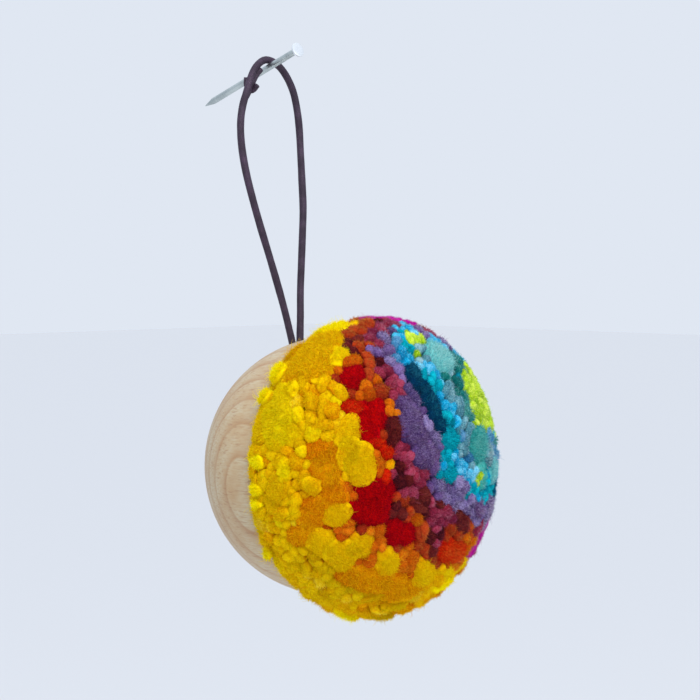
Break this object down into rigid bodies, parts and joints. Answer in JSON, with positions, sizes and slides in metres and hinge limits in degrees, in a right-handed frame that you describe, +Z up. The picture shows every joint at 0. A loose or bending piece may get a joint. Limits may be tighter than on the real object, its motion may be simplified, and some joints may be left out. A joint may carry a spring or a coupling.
{
  "type": "yarn pom pom on a wooden half ball, hung by a cord loop from a wall nail",
  "caption": "Trimmed rainbow yarn pom pom on the flat face of a turned wooden half ball, hanging by a leather cord loop from a slanted wall nail.",
  "frame": {"origin": "where the nail's axis meets the wall's face", "axes": "+X to the right along the wall as seen by a person who faces it, +Y into the wall, +Z up"},
  "size_m": [0.0816, 0.0908, 0.1552],
  "materials": {
    "wood": "pale turned wood, bare and fine sanded",
    "yarn": "cut wool yarn and roving, matt and fuzzy, in arcs of many colours",
    "leather": "round dark brown leather cord, satin",
    "steel": "bright zinc-plated wire nail"
  },
  "bodies": {
    "root": {"wooden_half_ball": "wood", "yarn_pom_pom": "yarn", "hanging_cord": "leather", "cord_knot": "leather", "wall_nail": "steel"}
  },
  "joints": []
}
